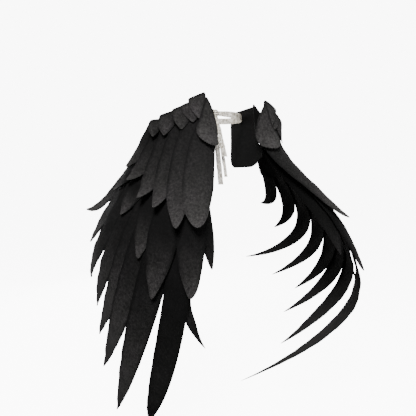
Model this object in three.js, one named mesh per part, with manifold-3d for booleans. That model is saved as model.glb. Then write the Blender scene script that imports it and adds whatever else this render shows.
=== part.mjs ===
// A pair of hip-worn wings of cut foam feathers, carried by one clear strap round the waist.
// Millimetres, +Z up, front is -Y. The origin is the middle of the waist loop.
import * as THREE from 'three';
import { mergeVertices } from 'three/addons/utils/BufferGeometryUtils.js';
import Module from 'manifold-3d';

const wasm = await Module();
wasm.setup();

// Tones of the foam and of the clear vinyl
const FEATHER_TONE = 0x2c2b2b;
const PANEL_TONE = 0x151515;
const PLATE_TONE = 0x121212;
const VINYL_TONE = 0xe8e4da;

// Points closer than this are one point
const MERGE_WITHIN = 1e-4;

// Sheet goods. CLEAR: gap at a feather's rear edge over the next. SEAT_GAP: gap between two rows.
const FOAM_THICK = 3;
const PANEL_THICK = 4;
const PLATE_THICK = 5;
const CLEAR = 1.5;
const SEAT_GAP = 1.3;
const TOP_ROW_RISE = 1.6;

// Waist strap, an oval loop of clear vinyl band
const WAIST_HALF_WIDTH = 106;
const WAIST_HALF_DEPTH = 82;
const STRAP_WIDTH = 24;
const STRAP_THICK = 1.2;
const STRAP_SEGMENTS = 28;
const STRAP_GAP = 0.3;
const PLATE_GAP = 1.3;

// Hip plate, a flat panel that stands along the side of the waist inside the wing
const PLATE_TOP = 35;
const PLATE_LOW = -190;
const PLATE_REAR = 64;
const PLATE_CORNER = 40;
const PLATE_FRONT_FROM = 8;
const PLATE_FRONT_TO = 225;
const PLATE_FRONT_STEPS = 6;
const PLATE_CORNER_STEPS = 6;
const PLATE_SEARCH_TO = 0.5;
const PLATE_SEARCH_STEPS = 30;

// Bunched knot at the front of the strap and the three band ends that hang from it
const KNOT = { x: -54, y: -81, z: 0, halfWidth: 15, halfDepth: 9, halfHeight: 13 };
const KNOT_SIDES = 14;
const KNOT_RINGS = 8;
const KEEP_OUT_HEIGHT = 96;
const TAIL_STEPS = 12;
const TAIL_STRIPS = 2;
const TAILS = [
  { width: 22, path: [[-52, -84, -4], [-46, -95, -55], [-41, -110, -110], [-36, -123, -157]] },
  { width: 20, path: [[-55, -82, -4], [-52, -88, -60], [-49, -99, -150], [-45, -112, -255]] },
  { width: 13, path: [[-48, -82, -4], [-40, -89, -60], [-34, -104, -140], [-30, -122, -228]] },
];

// Root line of a wing seen from above: part of an ellipse from the front edge to the rear edge
const SHOULDER_CENTRE_X = 102;
const SHOULDER_CENTRE_Y = 44;
const SHOULDER_HALF_WIDTH = 144;
const SHOULDER_HALF_DEPTH = 145;
const SHOULDER_FRONT_DEG = -9;
const SHOULDER_REAR_DEG = 89;
// Heights of the root line at even shares of it, from the front edge to the rear one
const SHOULDER_HEIGHTS = [62, 28, -6, -30, -38, -76];

// Bow of the wing along its length, as distances out from the root line and down: it flares, then turns in.
// It is scaled from the front edge to the rear one, and the front edge hangs straighter near its top. The
// facing is where the bow points, seen from above.
const BOW_POINTS = [
  { out: 0, down: 0 },
  { out: 24, down: 100 },
  { out: 78, down: 220 },
  { out: 130, down: 370 },
  { out: 155, down: 560 },
  { out: 148, down: 760 },
  { out: 104, down: 970 },
  { out: 30, down: 1170 },
  { out: -70, down: 1350 },
];
const BOW_DIVISIONS = 400;
const BOW_FRONT = 1.6;
const BOW_FRONT_TOP = 0.8;
const BOW_FRONT_FROM = 120;
const BOW_FRONT_TO = 480;
const BOW_REAR = 0.82;
const FACING_FRONT_DEG = 17;
const FACING_REAR_DEG = 83;

// Front edge: it rolls in from this place on the root line, and the roll dies out between two depths
const ROLL_FROM = 0.08;
const ROLL_RADIUS = 45;
const ROLL_FADE_FROM = 300;
const ROLL_FADE_TO = 560;
const ROLL_LEAST = 1e-6;

// Fan of the feathers in the wing's own surface, from hanging straight to pointing back
const FAN_FRONT_DEG = 6;
const FAN_REAR_DEG = 40;
const FAN_POWER = 4.8;

// Roots of the lower rows start further down at the front edge, between these places on the root line
const DROP_FROM = 0.14;
const DROP_TO = 0.32;
// Cross lines of a feather: their spacing, how many at least, and how they crowd towards the tip
const STATION = 68;
const STATION_EXTRA = 2;
const STATION_LEAST = 5;
const STATION_POWER = 1.3;
// Share of the length over which a feather's cross lines turn square to it
const SQUARE_FROM = 0.35;

// Curved backing panel, in shares of the root line and distances down from it. Its front corner is cut off
const PANEL_TOP = -4.2;
const PANEL_FROM = -4;
const PANEL_TO_FRONT = 260;
const PANEL_TO_REAR = 190;
const PANEL_CORNER = 0.1;
const PANEL_FRONT = 0.05;
const PANEL_REAR = 1.0;
const PANEL_CORNER_RUN = 90;
const PANEL_ROWS = 6;
const PANEL_COLUMNS = 20;

// The left wing hangs more open than the right one. Below its hip plate it swings out, most at half the
// reach, and its long tips turn back about an upright axis.
const OPEN_FROM = 100;
const OPEN_EASE = 200;
const OPEN_SLOPE = 0.6;
const OPEN_REACH = 850;
const OPEN_WAY_DEG = -30;
const TURN_DEG = 32;
const TURN_FROM = 330;
const TURN_TO = 900;
const TURN_AXIS_X = 240;
const TURN_AXIS_Y = 20;

// Rows from the outermost in. start: distance of the roots from the top edge. drop: how much lower they
// start at the front edge. step: least spacing of the roots, where 1 is the whole root line. root: width at
// the root as a share of the full width. widest: where the leaf is widest, as a share of its length.
// point: power of the taper to the tip, 1 is a straight one. hook: power of the sweep. curl: share of the
// length where the curl begins. strips: how many flat strips make up the width.
const LEAF = {
  start: 12, drop: 0, step: 0.08, root: 0.1, widest: 0.62, point: 1.9, hook: 0.75, curl: 0.5, strips: 5,
};
const SMALL = {
  start: 0, drop: 0, step: 0.08, root: 0.9, widest: 0.4, point: 1.6, hook: 1.5, curl: 0.5, strips: 3,
};
const MEDIUM = {
  start: 12, drop: 70, step: 0.125, root: 0.5, widest: 0.68, point: 2.3, hook: 2.5, curl: 0.8, strips: 3,
};
const LOWER = {
  start: 24, drop: 120, step: 0.14, root: 0.42, widest: 0.66, point: 2.2, hook: 3, curl: 0.7, strips: 4,
};
const LONG = {
  start: 36, drop: 160, step: 0.1, root: 0.5, widest: 0.45, point: 2.4, hook: 2.5, curl: 0.6, strips: 4,
};
const INNER = {
  start: 150, drop: 0, step: 1, root: 0.5, widest: 0.5, point: 1.5, hook: 6, curl: 0.6, strips: 4,
};
const STACK = [LONG, LOWER, MEDIUM, SMALL];

// Feathers from the front edge to the rear one. at: place on the root line. tip: distance of the tip from
// the top edge. sweep: how far the tip moves back along the root line. curl: how far the tip turns in, or
// out if negative. sink: how much lower it sits than its row, to rest on what lies under it, and openSink the
// same on the wing that hangs open. start, hook and strips: its own, where not its row's.
const FEATHERS = [
  { name: 'front_leaf', row: LEAF, at: 0.13, tip: 225, width: 42,
    sweep: -0.099, curl: -12, sink: 0.45, openSink: -3.45 },
  { name: 'small_feather_1', row: SMALL, at: 0.23, tip: 84, width: 46,
    sweep: -0.06, curl: 0, sink: -0.95, openSink: -4.35, start: -13 },
  { name: 'small_feather_2', row: SMALL, at: 0.305, tip: 87, width: 44,
    sweep: -0.078, curl: 0, sink: -1.5, openSink: -4.9 },
  { name: 'small_feather_3', row: SMALL, at: 0.39, tip: 95, width: 46,
    sweep: -0.057, curl: 0, sink: -2.7, openSink: -6.4 },
  { name: 'small_feather_4', row: SMALL, at: 0.53, tip: 85, width: 48,
    sweep: -0.008, curl: 0, sink: 0.85, openSink: -3.1 },
  { name: 'small_feather_5', row: SMALL, at: 0.672, tip: 75, width: 44,
    sweep: -0.01, curl: 0, sink: 2.45, openSink: -1.5, start: 10 },
  { name: 'medium_feather_1', row: MEDIUM, at: 0.09, tip: 465, width: 84,
    sweep: -0.01, curl: -24, sink: -4.4, openSink: -8.25, strips: 5, start: 112 },
  { name: 'medium_feather_2', row: MEDIUM, at: 0.25, tip: 452, width: 72,
    sweep: -0.077, curl: -24, sink: -5.6, openSink: -9.3 },
  { name: 'medium_feather_3', row: MEDIUM, at: 0.378, tip: 376, width: 72,
    sweep: -0.04, curl: -24, sink: -2.45, openSink: -6.4 },
  { name: 'medium_feather_4', row: MEDIUM, at: 0.505, tip: 325, width: 72,
    sweep: 0, curl: -24, sink: -0.55, openSink: -4.5 },
  { name: 'medium_feather_5', row: MEDIUM, at: 0.645, tip: 248, width: 72,
    sweep: 0.072, curl: -20, sink: 7, openSink: 5.05 },
  { name: 'medium_feather_6', row: MEDIUM, at: 0.785, tip: 183, width: 70,
    sweep: 0.083, curl: -6, sink: 6.15, openSink: 4.25 },
  { name: 'lower_feather_1', row: LOWER, at: 0.095, tip: 644, width: 94,
    sweep: -0.013, curl: 0, sink: 1.2, openSink: -2.6 },
  { name: 'lower_feather_2', row: LOWER, at: 0.275, tip: 612, width: 94,
    sweep: 0.021, curl: 0, sink: 0.25, openSink: -2.65 },
  { name: 'lower_feather_3', row: LOWER, at: 0.425, tip: 490, width: 94,
    sweep: 0.004, curl: 0, sink: 3.75, openSink: 1.05 },
  { name: 'lower_feather_4', row: LOWER, at: 0.635, tip: 356, width: 94,
    sweep: 0.049, curl: 0, sink: 4.7, openSink: 3.5 },
  { name: 'lower_feather_5', row: LOWER, at: 0.81, tip: 274, width: 90,
    sweep: 0.11, curl: 0, sink: 3.7, openSink: 2.85 },
  { name: 'long_feather_1', row: LONG, at: 0.045, tip: 588, width: 76,
    sweep: -0.215, curl: 0, sink: -0.2, openSink: -3.05 },
  { name: 'long_feather_2', row: LONG, at: 0.158, tip: 1173, width: 72,
    sweep: 0.312, curl: 115, sink: 0.5, openSink: -1.75, hook: 4.5 },
  { name: 'long_feather_3', row: LONG, at: 0.27, tip: 995, width: 92,
    sweep: 0.282, curl: 16, sink: 1.25, openSink: -0.65 },
  { name: 'long_feather_4', row: LONG, at: 0.388, tip: 869, width: 96,
    sweep: 0.275, curl: 27, sink: 1.25, openSink: 0.65 },
  { name: 'long_feather_5', row: LONG, at: 0.493, tip: 758, width: 96,
    sweep: 0.2, curl: 20, sink: 1.4, openSink: 1.15 },
  { name: 'long_feather_6', row: LONG, at: 0.605, tip: 720, width: 94,
    sweep: 0.211, curl: 56, sink: 2.2, openSink: 2.15 },
  { name: 'long_feather_7', row: LONG, at: 0.716, tip: 685, width: 92,
    sweep: 0.23, curl: 63, sink: 2.85, openSink: 2.85 },
  { name: 'long_feather_8', row: LONG, at: 0.828, tip: 507, width: 90,
    sweep: 0.114, curl: 9, sink: 2.7, openSink: 2.45 },
  { name: 'long_feather_9', row: LONG, at: 0.94, tip: 457, width: 74,
    sweep: 0.102, curl: -26, sink: 2.95, openSink: 2.95 },
  { name: 'inner_feather', row: INNER, at: 0.17, tip: 832, width: 76,
    sweep: -0.403, curl: 0, sink: 0.25, openSink: 0.9 },
];

const radians = THREE.MathUtils.degToRad;
const between = THREE.MathUtils.lerp;

// Point of the bow at a distance along it. Above the root line it runs on straight.
const bow = new THREE.SplineCurve(BOW_POINTS.map(({ out, down }) => new THREE.Vector2(out, down)));
bow.arcLengthDivisions = BOW_DIVISIONS;
const bowLength = bow.getLength();
function bowPoint(along) {
  if (along < 0) return bow.getTangent(0).multiplyScalar(along);
  return bow.getPointAt(Math.min(along / bowLength, 1));
}

// Height of the root line at a place on it. Past either end it runs on level.
const shoulder = new THREE.SplineCurve(SHOULDER_HEIGHTS.map((height, i) => new THREE.Vector2(i, height)));
function shoulderHeight(at) {
  return shoulder.getPoint(THREE.MathUtils.clamp(at, 0, 1)).y;
}

// Point of the root line. Forward of the place where the front edge rolls in, it follows the roll.
const shoulderLength = radians(SHOULDER_REAR_DEG - SHOULDER_FRONT_DEG) * SHOULDER_HALF_WIDTH;
function rootPoint(at, down) {
  const held = Math.max(at, ROLL_FROM);
  const around = radians(between(SHOULDER_FRONT_DEG, SHOULDER_REAR_DEG, held));
  const point = new THREE.Vector3(
    SHOULDER_CENTRE_X + SHOULDER_HALF_WIDTH * Math.sin(around),
    SHOULDER_CENTRE_Y - SHOULDER_HALF_DEPTH * Math.cos(around),
    shoulderHeight(at),
  );
  const past = (held - at) * shoulderLength;
  const fade = 1 - THREE.MathUtils.smoothstep(down, ROLL_FADE_FROM, ROLL_FADE_TO);
  const roll = (past / ROLL_RADIUS) * fade + ROLL_LEAST;
  const forward = new THREE.Vector3(-Math.cos(around), -Math.sin(around), 0);
  const inward = new THREE.Vector3(-Math.sin(around), Math.cos(around), 0);
  point.addScaledVector(forward, (past * Math.sin(roll)) / roll);
  return point.addScaledVector(inward, (past * (1 - Math.cos(roll))) / roll);
}

// Point of the wing's base surface at a place on the root line (0 front, 1 rear) and a distance down from it.
function basePoint(at, down) {
  const held = Math.max(at, ROLL_FROM);
  const facing = radians(between(FACING_FRONT_DEG, FACING_REAR_DEG, held));
  const point = rootPoint(at, down);
  const outward = new THREE.Vector3(Math.sin(facing), -Math.cos(facing), 0);
  const rearward = new THREE.Vector3(Math.cos(facing), Math.sin(facing), 0);
  const fan = radians(between(FAN_FRONT_DEG, FAN_REAR_DEG, Math.pow(Math.max(at, 0), FAN_POWER)));
  const bowed = bowPoint(down);
  point.addScaledVector(rearward, bowed.y * Math.sin(fan));
  const lower = THREE.MathUtils.smoothstep(down, BOW_FRONT_FROM, BOW_FRONT_TO);
  const front = between(BOW_FRONT_TOP, BOW_FRONT, lower);
  point.addScaledVector(outward, bowed.x * between(front, BOW_REAR, held));
  point.z -= bowed.y * Math.cos(fan);
  return point;
}

// The surface's two directions there: across it towards the rear, per whole root line, and down its length.
function baseDirections(at, down) {
  const small = 0.001;
  const across = basePoint(at + small, down).sub(basePoint(at - small, down)).divideScalar(2 * small);
  const length = basePoint(at, down + 1).sub(basePoint(at, down - 1)).divideScalar(2);
  return { across, length };
}

// Point at a height over the base surface, outward positive.
function wingPoint(at, down, height) {
  const { across, length } = baseDirections(at, down);
  const normal = new THREE.Vector3().crossVectors(length, across).normalize();
  return basePoint(at, down).addScaledVector(normal, height);
}

// Distance of a row's roots from the top edge, lower at the front edge.
function rowStart(row, at) {
  return row.start + row.drop * (1 - THREE.MathUtils.smoothstep(at, DROP_FROM, DROP_TO));
}

// Half width of a leaf at a share of its length, for a full width of 1.
function leafHalfWidth(row, share) {
  if (share < row.widest) {
    return 0.5 * between(row.root, 1, Math.sin((Math.PI / 2) * (share / row.widest)));
  }
  const taper = (share - row.widest) / (1 - row.widest);
  return 0.5 * (1 - Math.pow(taper, row.point));
}

// Closed sheet from a grid of top and bottom points. A last row of one point makes the sheet end in a tip.
function sheetGeometry(tops, bottoms) {
  const positions = [];
  const add = (point) => positions.push(point.x, point.y, point.z) / 3 - 1;
  const place = (rows) => rows.map((row) => row.map(add));
  const top = place(tops);
  const bottom = place(bottoms);
  const faces = [];
  const quad = (a, b, c, d) => {
    if (new Set([a, b, c]).size === 3) faces.push(a, b, c);
    if (new Set([a, c, d]).size === 3) faces.push(a, c, d);
  };
  const spot = (row, j) => row[Math.min(j, row.length - 1)];
  const wide = top[0].length - 1;
  for (let i = 0; i + 1 < top.length; i += 1) {
    const next = i + 1;
    for (let j = 0; j < wide; j += 1) {
      quad(spot(top[i], j), spot(top[next], j), spot(top[next], j + 1), spot(top[i], j + 1));
      quad(spot(bottom[i], j), spot(bottom[i], j + 1), spot(bottom[next], j + 1), spot(bottom[next], j));
    }
    quad(spot(top[i], 0), spot(bottom[i], 0), spot(bottom[next], 0), spot(top[next], 0));
    quad(spot(top[i], wide), spot(top[next], wide), spot(bottom[next], wide), spot(bottom[i], wide));
  }
  const last = top.length - 1;
  for (let j = 0; j < wide; j += 1) {
    quad(top[0][j], top[0][j + 1], bottom[0][j + 1], bottom[0][j]);
    if (top[last].length > 1) quad(top[last][j], bottom[last][j], bottom[last][j + 1], top[last][j + 1]);
  }
  const geometry = new THREE.BufferGeometry();
  geometry.setAttribute('position', new THREE.Float32BufferAttribute(positions, 3));
  geometry.setIndex(faces);
  geometry.computeVertexNormals();
  return geometry;
}

// Slope of a row's feathers across the wing, so that each one's rear edge clears the next.
function rowTilt(row) {
  return (FOAM_THICK + CLEAR) / row.step;
}

// How far the edges of a row's widest feather lie under and over its middle, because of the slope.
function rowDip(row) {
  const dips = FEATHERS.filter((entry) => entry.row === row).map(({ at, tip, width }) => {
    const { across } = baseDirections(at, between(rowStart(row, at), tip, row.widest));
    return (rowTilt(row) * width) / (2 * across.length());
  });
  return Math.max(...dips);
}

// Height of the middle of a row's feathers: each row lies over the row below, the lowest over the panel.
function rowSeat(row) {
  if (row === INNER) return PANEL_TOP - PANEL_THICK - SEAT_GAP - FOAM_THICK - rowDip(INNER);
  const layer = row === LEAF ? SMALL : row;
  const below = STACK.slice(0, STACK.indexOf(layer));
  const stacked = below.reduce((sum, under) => sum + 2 * rowDip(under) + FOAM_THICK + SEAT_GAP, 0);
  const rise = layer === SMALL ? TOP_ROW_RISE : 0;
  return PANEL_TOP + SEAT_GAP + stacked + rowDip(layer) + rise;
}

// One feather: a leaf of foam along the wing's surface, tilted so that its rear edge lies over the next.
function featherGeometry({
  row, at, tip, width, sweep, curl, sink, start = rowStart(row, at), hook = row.hook, strips = row.strips,
}) {
  const tilt = rowTilt(row);
  const seat = rowSeat(row);
  const stations = Math.max(STATION_LEAST, Math.round((tip - start) / STATION) + STATION_EXTRA);
  const tops = [];
  const bottoms = [];
  for (let i = 0; i <= stations; i += 1) {
    const share = 1 - Math.pow(1 - i / stations, STATION_POWER);
    const centre = at + sweep * Math.pow(share, hook);
    const down = between(start, tip, share);
    const { across, length } = baseDirections(centre, down);
    const slant = across.dot(length);
    const square = across.clone().addScaledVector(length, -slant).length();
    const squared = THREE.MathUtils.smoothstep(share, 0, SQUARE_FROM);
    const bend = curl * Math.pow(Math.max(share - row.curl, 0) / (1 - row.curl), 2);
    const half = width * leafHalfWidth(row, share);
    const places = Array.from({ length: strips + 1 }, (_, j) => j / strips);
    const sides = i === stations ? [0] : places.map((place) => 2 * place - 1);
    const spots = sides.map((side) => ({
      place: centre + (side * half) / square,
      depth: down - (side * half * slant * squared) / square,
    }));
    const level = ({ place }) => seat - sink + tilt * (place - at) - bend;
    tops.push(spots.map((spot) => wingPoint(spot.place, spot.depth, level(spot) + FOAM_THICK)));
    bottoms.push(spots.map((spot) => wingPoint(spot.place, spot.depth, level(spot))));
  }
  return sheetGeometry(tops, bottoms);
}

// Curved backing that all the feather roots are glued to.
function rootPanelGeometry() {
  const spot = (i, j) => {
    const lowest = between(PANEL_TO_FRONT, PANEL_TO_REAR, j / PANEL_COLUMNS);
    const down = between(PANEL_FROM, lowest, i / PANEL_ROWS);
    const corner = THREE.MathUtils.clamp(down / PANEL_CORNER_RUN, 0, 1);
    const front = between(PANEL_CORNER, PANEL_FRONT, corner);
    return { at: between(front, PANEL_REAR, j / PANEL_COLUMNS), down };
  };
  const grid = (height) => Array.from({ length: PANEL_ROWS + 1 }, (_, i) => (
    Array.from({ length: PANEL_COLUMNS + 1 }, (_, j) => {
      const { at, down } = spot(i, j);
      return wingPoint(at, down, height);
    })
  ));
  return sheetGeometry(grid(PANEL_TOP), grid(PANEL_TOP - PANEL_THICK));
}

// Place on the root line where the panel's inner face crosses a plane of the hip plate, at a distance down.
function plateMeetsPanel(x, down) {
  const inner = PANEL_TOP - PANEL_THICK - PLATE_GAP;
  let near = 0;
  let far = PLATE_SEARCH_TO;
  for (let i = 0; i < PLATE_SEARCH_STEPS; i += 1) {
    const middle = (near + far) / 2;
    if (wingPoint(middle, down, inner).x < x) near = middle;
    else far = middle;
  }
  return wingPoint(near, down, inner);
}

// Flat panel whose front edge runs down the inside of the root panel and whose body side carries the strap.
function hipPlateGeometry() {
  const inside = WAIST_HALF_WIDTH + STRAP_THICK / 2 + STRAP_GAP;
  const edge = [];
  for (let i = 0; i <= PLATE_FRONT_STEPS; i += 1) {
    const down = between(PLATE_FRONT_FROM, PLATE_FRONT_TO, i / PLATE_FRONT_STEPS);
    const inner = plateMeetsPanel(inside, down);
    const outer = plateMeetsPanel(inside + PLATE_THICK, down);
    edge.push(new THREE.Vector2(Math.max(inner.y, outer.y), (inner.z + outer.z) / 2));
  }
  const outline = new THREE.Shape();
  outline.moveTo(PLATE_REAR - PLATE_CORNER, PLATE_TOP);
  outline.lineTo(edge[0].x, PLATE_TOP);
  edge.filter(({ y }) => y < PLATE_TOP).forEach(({ x, y }) => outline.lineTo(x, y));
  const low = edge.at(-1);
  outline.quadraticCurveTo(low.x + PLATE_CORNER, PLATE_LOW, low.x + 2 * PLATE_CORNER, PLATE_LOW);
  outline.lineTo(PLATE_REAR - PLATE_CORNER, PLATE_LOW);
  outline.quadraticCurveTo(PLATE_REAR, PLATE_LOW, PLATE_REAR, PLATE_LOW + PLATE_CORNER);
  outline.lineTo(PLATE_REAR, PLATE_TOP - PLATE_CORNER);
  outline.quadraticCurveTo(PLATE_REAR, PLATE_TOP, PLATE_REAR - PLATE_CORNER, PLATE_TOP);
  const options = { depth: PLATE_THICK, bevelEnabled: false, curveSegments: PLATE_CORNER_STEPS };
  const geometry = new THREE.ExtrudeGeometry(outline, options);
  const yToRear = new THREE.Vector3(0, 1, 0);
  const zUp = new THREE.Vector3(0, 0, 1);
  const xOut = new THREE.Vector3(1, 0, 0);
  geometry.applyMatrix4(new THREE.Matrix4().makeBasis(yToRear, zUp, xOut));
  return geometry.translate(inside, 0, 0);
}

// Upright oval band: the strap itself, or a solid oval when it has no inside.
function ovalBand(grow, hollow, height) {
  const outline = new THREE.Shape();
  outline.absellipse(0, 0, WAIST_HALF_WIDTH + grow, WAIST_HALF_DEPTH + grow, 0, 2 * Math.PI);
  if (hollow) {
    const hole = new THREE.Path();
    hole.absellipse(0, 0, WAIST_HALF_WIDTH - grow, WAIST_HALF_DEPTH - grow, 0, 2 * Math.PI);
    outline.holes.push(hole);
  }
  const options = { depth: height, bevelEnabled: false, curveSegments: STRAP_SEGMENTS };
  return new THREE.ExtrudeGeometry(outline, options).translate(0, 0, -height / 2);
}

// Band end that hangs along a path, flat side to the front.
function tailGeometry({ width, path }) {
  const curve = new THREE.CatmullRomCurve3(path.map((point) => new THREE.Vector3(...point)));
  const side = new THREE.Vector3(1, 0, 0);
  const tops = [];
  const bottoms = [];
  for (let i = 0; i <= TAIL_STEPS; i += 1) {
    const centre = curve.getPointAt(i / TAIL_STEPS);
    const face = new THREE.Vector3().crossVectors(curve.getTangentAt(i / TAIL_STEPS), side).normalize();
    const spread = Array.from({ length: TAIL_STRIPS + 1 }, (_, j) => (
      centre.clone().addScaledVector(side, width * (j / TAIL_STRIPS - 0.5))
    ));
    tops.push(spread.map((point) => point.clone().addScaledVector(face, STRAP_THICK / 2)));
    bottoms.push(spread.map((point) => point.clone().addScaledVector(face, -STRAP_THICK / 2)));
  }
  return sheetGeometry(tops, bottoms);
}

// Solid for joining and cutting, and the drawn shape of one.
function toSolid(geometry) {
  const bare = new THREE.BufferGeometry();
  bare.setAttribute('position', geometry.getAttribute('position'));
  bare.setIndex(geometry.index);
  const merged = mergeVertices(bare, MERGE_WITHIN);
  const vertProperties = new Float32Array(merged.getAttribute('position').array);
  const triVerts = new Uint32Array(merged.index.array);
  const mesh = new wasm.Mesh({ numProp: 3, vertProperties, triVerts });
  mesh.merge();
  return new wasm.Manifold(mesh);
}

function toGeometry(solid) {
  const { numProp, vertProperties, triVerts } = solid.getMesh();
  const geometry = new THREE.BufferGeometry();
  const buffer = new THREE.InterleavedBuffer(vertProperties, numProp);
  geometry.setAttribute('position', new THREE.InterleavedBufferAttribute(buffer, 3, 0));
  geometry.setIndex(new THREE.BufferAttribute(triVerts, 1));
  geometry.computeVertexNormals();
  return geometry;
}

// Knot and hanging ends as one piece, cut to lie clear of the strap they are tied to.
function strapEndsGeometry() {
  const lump = new THREE.SphereGeometry(1, KNOT_SIDES, KNOT_RINGS);
  lump.scale(KNOT.halfWidth, KNOT.halfDepth, KNOT.halfHeight);
  lump.translate(KNOT.x, KNOT.y, KNOT.z);
  const ends = TAILS.map((tail) => toSolid(tailGeometry(tail)));
  const joined = ends.reduce((sum, end) => sum.add(end), toSolid(lump));
  const keepOut = toSolid(ovalBand(STRAP_THICK / 2 + STRAP_GAP, false, KEEP_OUT_HEIGHT));
  return toGeometry(joined.subtract(keepOut));
}

// Hangs a piece of the left wing more open: swung out and turned back with depth.
function hangOpen(geometry) {
  const position = geometry.getAttribute('position');
  const way = radians(OPEN_WAY_DEG);
  for (let i = 0; i < position.count; i += 1) {
    const depth = -position.getZ(i);
    const turn = radians(TURN_DEG) * THREE.MathUtils.smoothstep(depth, TURN_FROM, TURN_TO);
    const x = position.getX(i) - TURN_AXIS_X;
    const y = position.getY(i) - TURN_AXIS_Y;
    const below = Math.max(depth - OPEN_FROM, 0);
    const eased = (below * below) / (below + OPEN_EASE);
    const swing = OPEN_SLOPE * eased * (1 - below / OPEN_REACH);
    const turnedX = TURN_AXIS_X + x * Math.cos(turn) - y * Math.sin(turn);
    const turnedY = TURN_AXIS_Y + x * Math.sin(turn) + y * Math.cos(turn);
    position.setXY(i, turnedX + swing * Math.cos(way), turnedY + swing * Math.sin(way));
  }
  geometry.computeVertexNormals();
  return geometry;
}

const group = new THREE.Group();
const foam = (tone) => new THREE.MeshStandardMaterial({ color: tone, roughness: 0.9, metalness: 0 });

function addWing(side, mirror, open) {
  const wing = new THREE.Group();
  const hung = (geometry) => (open ? hangOpen(geometry) : geometry);
  wing.scale.x = mirror;
  const add = (name, geometry, tone) => {
    const mesh = new THREE.Mesh(geometry, foam(tone));
    mesh.name = `${side}_${name}`;
    wing.add(mesh);
  };
  add('hip_plate', hipPlateGeometry(), PLATE_TONE);
  add('root_panel', hung(rootPanelGeometry()), PANEL_TONE);
  FEATHERS.forEach((entry) => {
    const sink = open ? entry.openSink : entry.sink;
    add(entry.name, hung(featherGeometry({ ...entry, sink })), FEATHER_TONE);
  });
  group.add(wing);
}

function addStrapPiece(name, geometry) {
  const vinyl = new THREE.MeshStandardMaterial({ color: VINYL_TONE, roughness: 0.25, metalness: 0 });
  const mesh = new THREE.Mesh(geometry, vinyl);
  mesh.name = name;
  group.add(mesh);
}

addWing('left', 1, true);
addWing('right', -1, false);
addStrapPiece('waist_strap', ovalBand(STRAP_THICK / 2, true, STRAP_WIDTH));
addStrapPiece('strap_ends', strapEndsGeometry());

export default group;
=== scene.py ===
import math

import bmesh
import bpy
import numpy as np
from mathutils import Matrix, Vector
from mathutils.kdtree import KDTree


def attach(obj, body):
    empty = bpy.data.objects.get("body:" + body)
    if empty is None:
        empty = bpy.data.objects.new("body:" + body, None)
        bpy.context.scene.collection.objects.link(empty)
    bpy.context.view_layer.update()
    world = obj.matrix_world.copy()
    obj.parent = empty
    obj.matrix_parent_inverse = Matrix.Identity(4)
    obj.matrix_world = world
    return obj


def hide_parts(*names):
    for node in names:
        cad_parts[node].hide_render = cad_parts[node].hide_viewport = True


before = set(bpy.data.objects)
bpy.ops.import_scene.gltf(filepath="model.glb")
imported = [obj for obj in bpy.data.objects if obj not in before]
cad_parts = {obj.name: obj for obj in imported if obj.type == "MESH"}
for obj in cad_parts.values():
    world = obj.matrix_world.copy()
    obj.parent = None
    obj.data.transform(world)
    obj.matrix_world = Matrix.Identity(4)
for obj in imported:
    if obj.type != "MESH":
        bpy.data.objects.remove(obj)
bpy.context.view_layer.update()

# Photo camera, with its focal length and optical axis in pixels of the photo
CAMERA_PLACE = (-0.675, -1.169, -0.239)
CAMERA_TURN = (math.radians(90), 0.0, math.radians(-30))
IMAGE_SIDE = 416
CAMERA_FOCAL = 352
CAMERA_AXIS = (216, 180)
SENSOR = 36.0
NEAREST_SEEN = 0.01

# Hanging ends of the clear strap: width, real length, and the path of the middle line from the knot down
STRAP_THICK = 0.0012
STRAP_ENDS = [
    {"name": "strap_end_short", "width": 0.022, "length": 0.160,
     "path": [(-0.052, -0.084, -0.004), (-0.046, -0.095, -0.055),
              (-0.041, -0.110, -0.110), (-0.036, -0.123, -0.157)]},
    {"name": "strap_end_long", "width": 0.020, "length": 0.255,
     "path": [(-0.055, -0.082, -0.004), (-0.052, -0.088, -0.060),
              (-0.049, -0.099, -0.150), (-0.045, -0.112, -0.255)]},
    {"name": "strap_end_folded", "width": 0.013, "length": 0.230,
     "path": [(-0.048, -0.082, -0.004), (-0.040, -0.089, -0.060),
              (-0.034, -0.104, -0.140), (-0.030, -0.122, -0.228)]},
]
BAND_STRIPS = 12
BAND_STEPS = 96
ROUTE_POINTS = 25
ROUTE_FINENESS = 40
# The band is narrow and deeply folded at the knot, and opens over a share of its length
PINCHED_WIDTH = 0.6
PINCH_RUN = 0.3
BAND_FOLDS = 2.5
BAND_FOLD_DEPTH = 0.0016
FOLD_AT_KNOT = 1.3
FOLD_BELOW = 0.6
# The folds drift from side to side along the band, and a band of another width starts elsewhere
FOLD_DRIFT = 0.6
FOLD_DRIFT_RATE = 7
FOLD_DRIFT_BY_WIDTH = 40
BAND_CRINKLE = 0.0007
BAND_CRINKLE_WAVES = [{"along": 31, "across": 9, "start": 0}, {"along": 17, "across": -5, "start": 1}]
# Share of the half width where the painted highlight along the rim of the band begins
RIM_FROM = 0.8

# Knot: a gathered bunch of the band, drawn in at its middle
KNOT_MIDDLE = (-0.054, -0.081, 0.0)
KNOT_HALF = (0.015, 0.009, 0.013)
KNOT_SEGMENTS = 72
KNOT_RINGS = 48
KNOT_PLEATS = 9
KNOT_PLEAT_DEPTH = 0.17
KNOT_PLEAT_TWIST = 2.5
KNOT_CRINKLE = 0.07
KNOT_CRINKLE_WAVES = [{"along": 11, "across": 23, "start": 0}, {"along": 9, "across": 0, "start": 1}]
KNOT_WAIST = 0.28
KNOT_WAIST_RUN = 0.3

# Strap loop: ripples all round, folds and a narrower band toward the knot. Both lean with height
LOOP_LEVELS = 3
LOOP_RIPPLE = 0.0008
LOOP_RIPPLE_LENGTH = 0.034
LOOP_RIPPLE_LEAN = 90
LOOP_FOLD = 0.0022
LOOP_FOLD_LENGTH = 0.011
LOOP_FOLD_LEAN = 160
LOOP_GATHER_RUN = 0.05
LOOP_GATHER = 0.35

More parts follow.
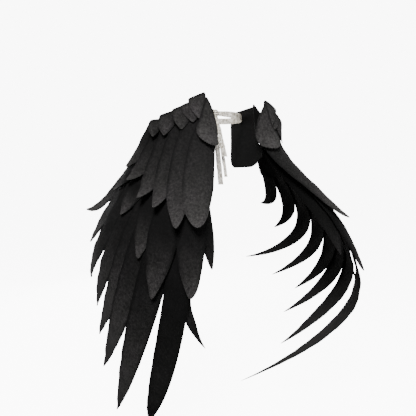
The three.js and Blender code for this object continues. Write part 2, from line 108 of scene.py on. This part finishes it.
# Sizes of the foam and of the finishing work
MERGE_WITHIN = 1e-5
SHARP_EDGE = math.radians(40)
QUAD_ANGLE = math.radians(75)
FACE_LEVELS = 2
EDGE_ROUND = 0.0005
EDGE_STEPS = 2
# How far a rounded tip still reaches to the point that it was cut to, where 1 is all the way
TIP_REACH = 0.9
# A sheet's materials are its outer face, its back and its cut edge, in this order
EDGE_SLOT = 2

# Slight waves of the hand-glued felt: height, and the run of each wave along X, Y and Z
FELT_WAVE = 0.0008
FELT_WAVE_RUNS = [(0.11, 0.16, 0.071), (-0.083, 0.12, 0.19), (0.21, -0.067, 0.095)]

# Middle of the root line of the left wing, seen from above
WING_MIDDLE = Vector((0.102, 0.044, 0.0))

# Feathers of one wing: row, how many, the share of the length under the row above, the felt tone where it
# comes out, darkened there as painted shade of the row above, the tone at the tip, lightened there as
# painted light, and the factor on the whole feather's tone at the front of the row and at its rear
FEATHER_ROWS = [
    {"row": "small_feather", "count": 5, "covered": 0.0,
     "top": 0.75, "tip": 1.45, "front": 1.1, "rear": 0.9},
    {"row": "medium_feather", "count": 6, "covered": 0.2,
     "top": 0.3, "tip": 1.55, "front": 1.0, "rear": 0.85},
    {"row": "lower_feather", "count": 5, "covered": 0.66,
     "top": 0.08, "tip": 2.2, "front": 0.75, "rear": 0.85},
    {"row": "long_feather", "count": 9, "covered": 0.5,
     "top": 0.15, "tip": 3.7, "front": 0.12, "rear": 1.2},
]
SINGLE_FEATHERS = [
    {"row": "front_leaf", "covered": 0.0, "top": 0.85, "tip": 1.7},
    {"row": "inner_feather", "covered": 0.2, "top": 0.3, "tip": 0.4},
]
# Feathers behind this share of a row all have the rear tone
TONE_RAMP = 0.33
# Width of the painted shade strip along the sides of each feather, where the neighbours overlap
SIDE_SHADE_WIDTH = 0.012
# How many of a feather's highest points mark its root
ROOT_POINTS = 24

# Colours of the finishes
FELT_DARK = (0.0012, 0.0012, 0.0012, 1)
FELT_GREENISH = (0.036, 0.036, 0.033, 1)
FELT_REDDISH = (0.038, 0.034, 0.036, 1)
BACK_DARK = (0.0008, 0.0008, 0.0008, 1)
BACK_FELT = (0.026, 0.025, 0.0245, 1)
BACK_FOAM = (0.007, 0.0067, 0.0065, 1)
CUT_DARK = (0.004, 0.004, 0.004, 1)
CUT_LIGHT = (0.02, 0.019, 0.019, 1)
VINYL_FLAT = (0.33, 0.295, 0.235, 1)
# Painted highlight colour of the film's rims and creases
VINYL_HIGHLIGHT = (0.84, 0.79, 0.70, 1)
FLOOR_PALE = (0.9, 0.9, 0.9, 1)
WHITE = (1, 1, 1, 1)
# Nearly all values of a noise texture lie between these two
NOISE_LOW = 0.3
NOISE_HIGH = 0.7

# Floor, white surroundings, and soft lamps that all point at the middle of the wings
FLOOR_HEIGHT = -1.185
FLOOR_SIZE = 60.0
WHITE_LIGHT = 9.0
LIT_POINT = (0.0, 0.0, -0.4)
LAMPS = [
    {"name": "key_light", "place": (-1.5, -1.9, 2.0), "size": 1.4, "power": 210.0},
    {"name": "fill_light", "place": (1.6, -2.0, 0.6), "size": 2.0, "power": 36.0},
    {"name": "top_light", "place": (0.2, 0.8, 2.2), "size": 2.0, "power": 40.0},
    {"name": "low_light", "place": (-0.3, -1.9, -1.0), "size": 1.6, "power": 16.0},
    {"name": "rear_light", "place": (0.0, 2.2, 0.2), "size": 2.0, "power": 45.0},
]


# Camera

def make_camera():
    lens = bpy.data.cameras.new("photo_camera")
    lens.sensor_width = SENSOR
    lens.lens = SENSOR * CAMERA_FOCAL / IMAGE_SIDE
    lens.shift_x = (IMAGE_SIDE / 2 - CAMERA_AXIS[0]) / IMAGE_SIDE
    lens.shift_y = (CAMERA_AXIS[1] - IMAGE_SIDE / 2) / IMAGE_SIDE
    lens.clip_start = NEAREST_SEEN
    camera = bpy.data.objects.new("photo_camera", lens)
    camera.location = CAMERA_PLACE
    camera.rotation_euler = CAMERA_TURN
    bpy.context.scene.collection.objects.link(camera)
    bpy.context.scene.camera = camera


make_camera()


# Work on one piece at a time

def deselect_everything():
    for piece in bpy.context.selected_objects:
        piece.select_set(False)


def take_up(piece):
    deselect_everything()
    piece.select_set(True)
    bpy.context.view_layer.objects.active = piece


def apply_modifier(piece, kind, **settings):
    take_up(piece)
    modifier = piece.modifiers.new(kind.lower(), kind)
    for name, value in settings.items():
        setattr(modifier, name, value)
    bpy.ops.object.modifier_apply(modifier=modifier.name)


def smooth_subdivide(piece, levels):
    apply_modifier(piece, "SUBSURF", levels=levels, render_levels=levels)


def copy_of_node(node, name):
    """A new piece that starts as a CAD node's shape, its loose triangles merged and paired into quads."""
    piece = bpy.data.objects.new(name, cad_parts[node].data.copy())
    bpy.context.scene.collection.objects.link(piece)
    piece.data.materials.clear()
    take_up(piece)
    bpy.ops.mesh.customdata_custom_splitnormals_clear()
    bpy.ops.object.mode_set(mode="EDIT")
    bpy.ops.mesh.select_all(action="SELECT")
    bpy.ops.mesh.remove_doubles(threshold=MERGE_WITHIN)
    bpy.ops.mesh.tris_convert_to_quads(face_threshold=QUAD_ANGLE, shape_threshold=QUAD_ANGLE)
    bpy.ops.object.mode_set(mode="OBJECT")
    return piece


def crease_sharp_edges(piece):
    take_up(piece)
    bpy.ops.object.mode_set(mode="EDIT")
    bpy.ops.mesh.select_mode(type="EDGE")
    bpy.ops.mesh.select_all(action="DESELECT")
    bpy.ops.mesh.edges_select_sharp(sharpness=SHARP_EDGE)
    bpy.ops.transform.edge_crease(value=1.0)
    bpy.ops.mesh.mark_sharp()
    bpy.ops.object.mode_set(mode="OBJECT")


def round_sharp_edges(piece):
    apply_modifier(piece, "BEVEL", width=EDGE_ROUND, segments=EDGE_STEPS, limit_method="ANGLE",
                   angle_limit=SHARP_EDGE, miter_outer="MITER_ARC", harden_normals=False)


def face_islands(piece):
    """The face numbers of each side of a sheet, parted at its sharp edges, largest side first."""
    sheet = bmesh.new()
    sheet.from_mesh(piece.data)
    sheet.faces.ensure_lookup_table()
    left = set(range(len(sheet.faces)))
    islands = []
    while left:
        stack = [left.pop()]
        island = []
        while stack:
            face = sheet.faces[stack.pop()]
            island.append(face.index)
            for edge in face.edges:
                if not edge.smooth:
                    continue
                for other in edge.link_faces:
                    if other.index in left:
                        left.remove(other.index)
                        stack.append(other.index)
        area = sum(sheet.faces[i].calc_area() for i in island)
        normal = sum((sheet.faces[i].normal * sheet.faces[i].calc_area() for i in island), Vector())
        islands.append({"faces": island, "area": area, "normal": normal})
    sheet.free()
    return sorted(islands, key=lambda island: -island["area"])


def set_point_values(piece, name, values):
    attribute = piece.data.attributes.new(name, "FLOAT", "POINT")
    attribute.data.foreach_set("value", np.asarray(values, np.float32))


def points_of(piece):
    points = np.zeros(len(piece.data.vertices) * 3)
    piece.data.vertices.foreach_get("co", points)
    return points.reshape(-1, 3)


def set_points(piece, points):
    piece.data.vertices.foreach_set("co", np.ascontiguousarray(points, dtype=np.float32).ravel())
    piece.data.update()


def smooth_shading(piece):
    take_up(piece)
    bpy.ops.object.shade_smooth_by_angle(angle=SHARP_EDGE)


def finish_piece(piece):
    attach(piece, "root")


# Materials

class NodeDesk:
    """A new material with its node tree, and short ways to add and join nodes."""

    def __init__(self, name):
        self.material = bpy.data.materials.new(name)
        self.material.use_nodes = True
        self.tree = self.material.node_tree
        self.shader = self.tree.nodes["Principled BSDF"]
        self.place = self.add("ShaderNodeTexCoord").outputs["Object"]

    def add(self, kind, inputs=None, **settings):
        node = self.tree.nodes.new(kind)
        for name, value in settings.items():
            setattr(node, name, value)
        for name, value in (inputs or {}).items():
            self.put(value, node.inputs[name])
        return node

    def put(self, value, socket):
        if isinstance(value, bpy.types.NodeSocket):
            self.tree.links.new(value, socket)
        else:
            socket.default_value = value

    def set(self, **inputs):
        for name, value in inputs.items():
            self.put(value, self.shader.inputs[name.replace("_", " ")])

    def noise(self, size, detail=2.0, rough=0.5):
        node = self.add("ShaderNodeTexNoise", {"Scale": 1.0 / size, "Detail": detail, "Roughness": rough,
                                               "Vector": self.place})
        return node.outputs["Fac"]

    def spots(self, size):
        node = self.add("ShaderNodeTexVoronoi", {"Scale": 1.0 / size, "Vector": self.place})
        return node.outputs["Distance"]

    def ramp(self, value, start, stop, low, high):
        """A value that goes from low to high while another goes from start to stop."""
        node = self.add("ShaderNodeMapRange", {"Value": value, "From Min": start, "From Max": stop,
                                               "To Min": low, "To Max": high})
        return node.outputs["Result"]

    def vary(self, noise, low, high):
        return self.ramp(noise, NOISE_LOW, NOISE_HIGH, low, high)

    def maths(self, operation, first, second):
        node = self.add("ShaderNodeMath", operation=operation)
        self.put(first, node.inputs[0])
        self.put(second, node.inputs[1])
        return node.outputs["Value"]

    def times(self, first, second):
        return self.maths("MULTIPLY", first, second)

    def plus(self, first, second):
        return self.maths("ADD", first, second)

    def point_value(self, name):
        return self.add("ShaderNodeAttribute", attribute_name=name).outputs["Fac"]

    def blend(self, factor, dark, light):
        node = self.add("ShaderNodeMix", data_type="RGBA")
        self.put(factor, node.inputs["Factor"])
        self.put(dark, node.inputs[6])
        self.put(light, node.inputs[7])
        return node.outputs[2]

    def bump(self, height, distance, strength):
        node = self.add("ShaderNodeBump", {"Height": height, "Distance": distance, "Strength": strength})
        self.put(node.outputs["Normal"], self.shader.inputs["Normal"])


def felt_face_material():
    """Felt with fibres and clumps, bright specks painted in as glints, painted shade along the sides and a
    painted highlight at the rim.
    """
    desk = NodeDesk("felt_face")
    fibres = desk.noise(size=0.0026, detail=3.0, rough=0.65)
    clumps = desk.noise(size=0.008, rough=0.6)
    patches = desk.noise(size=0.06)
    # Painted glints: small bright spots added to the felt colour
    glint_specks = desk.ramp(desk.spots(size=0.004), start=0.0, stop=0.22, low=1.0, high=0.0)
    # The point tone carries painted shade near the root under the row above and painted light toward the
    # tip
    tone_with_shade = desk.times(desk.point_value("tone_and_shade"), desk.vary(patches, low=0.85, high=1.15))
    grain = desk.times(desk.vary(fibres, low=0.3, high=1.7), desk.vary(clumps, low=0.5, high=1.5))
    # Painted shade: a dark strip along the sides of each feather, where the neighbours overlap, fading out
    # toward the tip
    side_shade_fades = desk.ramp(desk.point_value("along"), start=0.55, stop=0.95, low=0.85, high=0.0)
    side_shade = desk.times(desk.point_value("side"), side_shade_fades)
    felt = desk.times(desk.times(tone_with_shade, grain), desk.maths("SUBTRACT", 1.0, side_shade))
    felt_and_glints = desk.plus(felt, desk.times(glint_specks, 0.6))
    # Painted highlight: a pale line on the felt face along the cut edge
    rim_highlight = desk.times(desk.maths("POWER", desk.point_value("rim"), 4.0), 0.5)
    lift = desk.times(desk.plus(felt_and_glints, rim_highlight), 0.5)
    tint = desk.blend(patches, FELT_GREENISH, FELT_REDDISH)
    desk.set(Base_Color=desk.blend(lift, FELT_DARK, tint), Roughness=desk.vary(fibres, low=0.75, high=0.95),
             Specular_IOR_Level=0.08, Sheen_Weight=0.03, Sheen_Roughness=0.45)
    desk.bump(desk.plus(fibres, desk.times(glint_specks, 0.4)), distance=0.0006, strength=0.5)
    return desk.material


def back_material(name, light):
    """Bare back of a sheet, with fine pores and slow patches."""
    desk = NodeDesk(name)
    pores = desk.noise(size=0.0016, detail=3.0, rough=0.6)
    patches = desk.noise(size=0.05)
    lift = desk.times(desk.vary(pores, low=0.5, high=1.0), desk.vary(patches, low=0.7, high=1.0))
    desk.set(Base_Color=desk.blend(lift, BACK_DARK, light), Roughness=desk.vary(pores, low=0.7, high=0.9),
             Specular_IOR_Level=0.06)
    desk.bump(pores, distance=0.0004, strength=0.4)
    return desk.material


def cut_edge_material():
    """Open pores of the foam where it was cut."""
    desk = NodeDesk("cut_edge")
    pores = desk.noise(size=0.0012, detail=3.0, rough=0.6)
    colour = desk.blend(desk.vary(pores, low=0.2, high=1.0), CUT_DARK, CUT_LIGHT)
    desk.set(Base_Color=colour, Roughness=desk.vary(pores, low=0.8, high=0.95), Specular_IOR_Level=0.1)
    desk.bump(pores, distance=0.0003, strength=0.5)
    return desk.material


def clear_vinyl_material():
    """Clear film with painted highlights along its rims and creases."""
    desk = NodeDesk("clear_vinyl_film")
    creases = desk.noise(size=0.011, detail=4.0, rough=0.6)
    haze = desk.noise(size=0.004)
    # Painted highlights on the creases and rims of the film
    crease_highlight = desk.ramp(creases, start=0.4, stop=0.62, low=0.0, high=1.0)
    highlighted = desk.maths("MAXIMUM", crease_highlight, desk.point_value("rim"))
    colour = desk.blend(highlighted, VINYL_FLAT, VINYL_HIGHLIGHT)
    desk.set(Base_Color=colour, Roughness=desk.vary(haze, low=0.1, high=0.3), Specular_IOR_Level=0.7,
             IOR=1.45, Alpha=0.86)
    desk.bump(creases, distance=0.0015, strength=0.4)
    return desk.material


felt_face = felt_face_material()
felt_back = back_material("felt_back", BACK_FELT)
foam_back = back_material("foam_back", BACK_FOAM)
cut_edge = cut_edge_material()
clear_vinyl = clear_vinyl_material()


# Clear strap

def hanging_route(path, count):
    """Points an even distance apart on a smooth line through the given points of a path."""
    fixed = np.array(path)
    before = np.vstack([2 * fixed[0] - fixed[1], fixed[:-1]])[:-1]
    ends = np.vstack([fixed[2:], 2 * fixed[-1] - fixed[-2]])
    share = np.linspace(0, 1, ROUTE_FINENESS, endpoint=False)[:, None]
    line = []
    for start, stop, earlier, later in zip(fixed[:-1], fixed[1:], before, ends):
        leave, arrive = (stop - earlier) / 2, (later - start) / 2
        line.append((2 * share**3 - 3 * share**2 + 1) * start + (share**3 - 2 * share**2 + share) * leave
                    + (3 * share**2 - 2 * share**3) * stop + (share**3 - share**2) * arrive)
    line = np.vstack(line + [fixed[-1:]])
    walked = np.concatenate([[0], np.cumsum(np.linalg.norm(np.diff(line, axis=0), axis=1))])
    even = np.linspace(0, walked[-1], count)
    return np.stack([np.interp(even, walked, line[:, axis]) for axis in range(3)], axis=1)


def band_rim(across):
    return np.clip((np.abs(2 * across - 1) - RIM_FROM) / (1 - RIM_FROM), 0, 1)


def crinkles(waves, along, across):
    """Small dents where slanting waves meet, between -1 and 1."""
    slants = [np.sin(wave["along"] * along + wave["across"] * across + wave["start"]) for wave in waves]
    return np.prod(slants, axis=0)


def make_strap_end(entry):
    """A flat band that hangs along its path, drawn together at the knot, with long folds and crinkles."""
    deselect_everything()
    bpy.ops.mesh.primitive_grid_add(x_subdivisions=BAND_STRIPS, y_subdivisions=BAND_STEPS, size=1.0)
    piece = bpy.context.active_object
    piece.name = entry["name"]
    flat = points_of(piece)
    across, along = flat[:, 0] + 0.5, flat[:, 1] + 0.5
    route = hanging_route(entry["path"], BAND_STEPS + 1)
    step = np.rint(along * BAND_STEPS).astype(int)
    heading = np.gradient(route, axis=0)
    face = np.cross(heading, (1.0, 0.0, 0.0))
    face /= np.linalg.norm(face, axis=1)[:, None]
    opened = np.clip(along / PINCH_RUN, 0, 1)
    width = entry["width"] * (PINCHED_WIDTH + (1 - PINCHED_WIDTH) * opened)
    drift = FOLD_DRIFT * np.sin(FOLD_DRIFT_RATE * along + FOLD_DRIFT_BY_WIDTH * entry["width"])
    deep = FOLD_AT_KNOT + (FOLD_BELOW - FOLD_AT_KNOT) * opened
    fold = deep * np.sin(2 * np.pi * (BAND_FOLDS * across + drift))
    lift = BAND_FOLD_DEPTH * fold + BAND_CRINKLE * crinkles(BAND_CRINKLE_WAVES, along, across)
    points = route[step] + face[step] * lift[:, None]
    points[:, 0] += (across - 0.5) * width
    set_points(piece, points)
    # Painted highlight along both rims of the band
    set_point_values(piece, "rim", band_rim(across))
    piece.data.materials.append(clear_vinyl)
    apply_modifier(piece, "SOLIDIFY", thickness=STRAP_THICK, offset=0.0)
    smooth_shading(piece)
    finish_piece(piece)
    hanging_route(entry["path"], ROUTE_POINTS).tolist()


def make_knot():
    """A ball of gathered band: pleats run along it and it is drawn in at the middle."""
    deselect_everything()
    bpy.ops.mesh.primitive_uv_sphere_add(segments=KNOT_SEGMENTS, ring_count=KNOT_RINGS, radius=1.0)
    piece = bpy.context.active_object
    piece.name = "strap_knot"
    bpy.ops.object.mode_set(mode="EDIT")
    bpy.ops.mesh.select_all(action="SELECT")
    bpy.ops.transform.rotate(value=math.radians(90), orient_axis="Y", center_override=(0.0, 0.0, 0.0))
    bpy.ops.object.mode_set(mode="OBJECT")
    ball = points_of(piece)
    along = ball[:, 0]
    turn = np.arctan2(ball[:, 2], ball[:, 1])
    pleats = KNOT_PLEAT_DEPTH * np.sin(KNOT_PLEATS * turn + KNOT_PLEAT_TWIST * along)
    crinkle = KNOT_CRINKLE * crinkles(KNOT_CRINKLE_WAVES, along, turn)
    drawn = KNOT_WAIST * np.exp(-((along / KNOT_WAIST_RUN) ** 2))
    set_points(piece, ball * (1 + pleats + crinkle - drawn)[:, None] * KNOT_HALF + KNOT_MIDDLE)
    # Painted highlight on the crests of the pleats
    set_point_values(piece, "rim", np.clip(pleats / KNOT_PLEAT_DEPTH, 0, 1))
    piece.data.materials.append(clear_vinyl)
    smooth_shading(piece)
    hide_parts("strap_ends")
    finish_piece(piece)


def make_waist_strap():
    """The loop round the waist, with slow ripples that lean in, and folds where it is gathered."""
    piece = copy_of_node("waist_strap", "waist_strap_film")
    crease_sharp_edges(piece)
    smooth_subdivide(piece, LOOP_LEVELS)
    points = points_of(piece)
    height = points[:, 2]
    from_middle = np.hypot(points[:, 0], points[:, 1])
    inward = -points * (1, 1, 0) / from_middle[:, None]
    run = np.arctan2(points[:, 1], points[:, 0]) * from_middle.mean()
    to_knot = np.linalg.norm(points[:, :2] - np.array(KNOT_MIDDLE[:2]), axis=1)
    gathered = np.exp(-((to_knot / LOOP_GATHER_RUN) ** 2))
    ripple = 0.5 + 0.5 * np.sin(2 * np.pi * run / LOOP_RIPPLE_LENGTH + LOOP_RIPPLE_LEAN * height)
    fold = 0.5 + 0.5 * np.sin(2 * np.pi * run / LOOP_FOLD_LENGTH + LOOP_FOLD_LEAN * height)
    moved = points + inward * (LOOP_RIPPLE * ripple + LOOP_FOLD * gathered * fold)[:, None]
    moved[:, 2] *= 1 - LOOP_GATHER * gathered
    set_points(piece, moved)
    # Painted highlight along the upper and lower rims of the loop
    set_point_values(piece, "rim", band_rim(0.5 + 0.5 * height / np.abs(height).max()))
    piece.data.materials.append(clear_vinyl)
    smooth_shading(piece)
    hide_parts("waist_strap")
    finish_piece(piece)


for strap_end in STRAP_ENDS:
    make_strap_end(strap_end)
make_knot()
make_waist_strap()


# Foam pieces

def outward_from_wing(piece):
    middle = Vector(points_of(piece).mean(0))
    side = math.copysign(1.0, middle.x)
    outward = middle - Vector((side * WING_MIDDLE.x, WING_MIDDLE.y, middle.z))
    return outward.normalized()


def paint_sheet(piece, face, back):
    """Face material on the side that looks out, back material on the inner side, cut edge between them."""
    islands = face_islands(piece)
    outward = outward_from_wing(piece)
    sides = sorted(islands[:2], key=lambda island: -island["normal"].dot(outward))
    for material in (face, back, cut_edge):
        piece.data.materials.append(material)
    for polygon in piece.data.polygons:
        polygon.material_index = EDGE_SLOT
    for number, island in enumerate(sides):
        for face_number in island["faces"]:
            piece.data.polygons[face_number].material_index = number


def mark_length(piece, entry, share_of_tone):
    """Share of the seen length from the row above to the tip, and the felt tone with painted shade near the
    row above and painted light toward the tip, on every point.
    """
    points = points_of(piece)
    root = points[np.argsort(-points[:, 2])[:ROOT_POINTS]].mean(0)
    away = np.linalg.norm(points - root, axis=1)
    along = np.clip((away / away.max() - entry["covered"]) / (1 - entry["covered"]), 0, 1)
    # Painted shade where the feather comes out from under the row above, rising to painted light at the tip
    tone_and_shade = entry["top"] + (entry["tip"] - entry["top"]) * along**2
    set_point_values(piece, "along", along)
    set_point_values(piece, "tone_and_shade", share_of_tone * tone_and_shade)


def mark_rim(piece):
    """One on the points of the cut edge, for a painted highlight, nothing on the faces, and a painted shade
    strip that fades in from the edge.
    """
    points = points_of(piece)
    rim = np.zeros(len(points))
    for polygon in piece.data.polygons:
        if polygon.material_index == EDGE_SLOT:
            rim[list(polygon.vertices)] = 1.0
    edge = KDTree(int(rim.sum()))
    for number in np.flatnonzero(rim):
        edge.insert(points[number], number)
    edge.balance()
    from_edge = np.array([edge.find(point)[2] for point in points])
    # The rim value marks the cut edge, where the felt colour gets a painted highlight
    set_point_values(piece, "rim", rim)
    # The side value is the painted shade strip along the cut edge
    set_point_values(piece, "side", np.clip(1 - from_edge / SIDE_SHADE_WIDTH, 0, 1))


def wave_felt(piece):
    """Moves the points in and out along slow waves in space, so that layers that touch move together."""
    points = points_of(piece)
    side = math.copysign(1.0, points[:, 0].mean())
    outward = points - np.array((side * WING_MIDDLE.x, WING_MIDDLE.y, 0.0))
    outward[:, 2] = 0.0
    outward /= np.linalg.norm(outward, axis=1)[:, None]
    waves = sum(np.sin(2 * np.pi * (points / np.array(runs)).sum(1)) for runs in FELT_WAVE_RUNS)
    set_points(piece, points + outward * (FELT_WAVE * waves)[:, None])


def round_outline(piece):
    """Lets the cut edge run round the corners of the outline, and returns the points of those corners."""
    sheet = bmesh.new()
    sheet.from_mesh(piece.data)
    crease = sheet.edges.layers.float["crease_edge"]
    corners = set()
    for edge in sheet.edges:
        if all(face.material_index == EDGE_SLOT for face in edge.link_faces):
            if edge[crease] > 0:
                corners.update(point.index for point in edge.verts)
            edge[crease] = 0.0
            edge.smooth = True
    sheet.to_mesh(piece.data)
    sheet.free()
    return sorted(corners)


def smooth_through_points(piece, corners):
    """Subdivides so that the smooth sheet passes through the points it had, all but the rounded corners.

    A trial shows how far smoothing draws each point in, and the points are moved out by as much first.
    """
    wanted = points_of(piece)
    trial = piece.copy()
    trial.data = piece.data.copy()
    bpy.context.scene.collection.objects.link(trial)
    smooth_subdivide(trial, FACE_LEVELS)
    lost = wanted - points_of(trial)[:len(wanted)]
    trial_mesh = trial.data
    bpy.data.objects.remove(trial)
    bpy.data.meshes.remove(trial_mesh)
    reach = np.ones(len(wanted))
    reach[corners] = np.where(wanted[corners, 2] < wanted[:, 2].mean(), TIP_REACH, 0.0)
    set_points(piece, wanted + lost * reach[:, None])
    smooth_subdivide(piece, FACE_LEVELS)


def shape_sheet(piece, face, back):
    crease_sharp_edges(piece)
    paint_sheet(piece, face, back)
    smooth_through_points(piece, round_outline(piece))
    round_sharp_edges(piece)
    wave_felt(piece)
    mark_rim(piece)
    smooth_shading(piece)


def make_feather(node, entry, share_of_tone=1.0):
    piece = copy_of_node(node, node + "_felt")
    shape_sheet(piece, felt_face, felt_back)
    mark_length(piece, entry, share_of_tone)
    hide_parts(node)
    finish_piece(piece)


def make_backing(node):
    piece = copy_of_node(node, node + "_foam")
    shape_sheet(piece, foam_back, foam_back)
    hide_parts(node)
    finish_piece(piece)


def make_wing(side):
    for entry in FEATHER_ROWS:
        for number in range(1, entry["count"] + 1):
            behind = min(1.0, (number - 1) / (entry["count"] - 1) / TONE_RAMP)
            share_of_tone = entry["front"] + (entry["rear"] - entry["front"]) * behind
            make_feather(f"{side}_{entry['row']}_{number}", entry, share_of_tone)
    for entry in SINGLE_FEATHERS:
        make_feather(f"{side}_{entry['row']}", entry)
    make_backing(f"{side}_root_panel")
    make_backing(f"{side}_hip_plate")


make_wing("left")
make_wing("right")


# Floor and light

def make_floor():
    deselect_everything()
    bpy.ops.mesh.primitive_plane_add(size=FLOOR_SIZE, location=(0, 0, FLOOR_HEIGHT))
    floor = bpy.context.active_object
    floor.name = "studio_floor"
    desk = NodeDesk("pale_floor")
    desk.set(Base_Color=FLOOR_PALE, Roughness=0.9, Emission_Color=WHITE, Emission_Strength=WHITE_LIGHT)
    floor.data.materials.append(desk.material)
    floor.visible_diffuse = False
    floor.visible_glossy = False


def make_lamp(entry):
    lamp = bpy.data.lights.new(entry["name"], "AREA")
    lamp.shape = "DISK"
    lamp.size = entry["size"]
    lamp.energy = entry["power"]
    light = bpy.data.objects.new(entry["name"], lamp)
    light.location = entry["place"]
    direction = Vector(LIT_POINT) - Vector(entry["place"])
    light.rotation_euler = direction.to_track_quat("-Z", "Y").to_euler()
    bpy.context.scene.collection.objects.link(light)


def make_world():
    world = bpy.data.worlds.new("soft_white")
    bpy.context.scene.world = world
    world.use_nodes = True
    background = world.node_tree.nodes["Background"]
    background.inputs["Color"].default_value = WHITE
    background.inputs["Strength"].default_value = WHITE_LIGHT
    world.cycles_visibility.diffuse = False
    world.cycles_visibility.glossy = False


make_floor()
for lamp_entry in LAMPS:
    make_lamp(lamp_entry)
make_world()
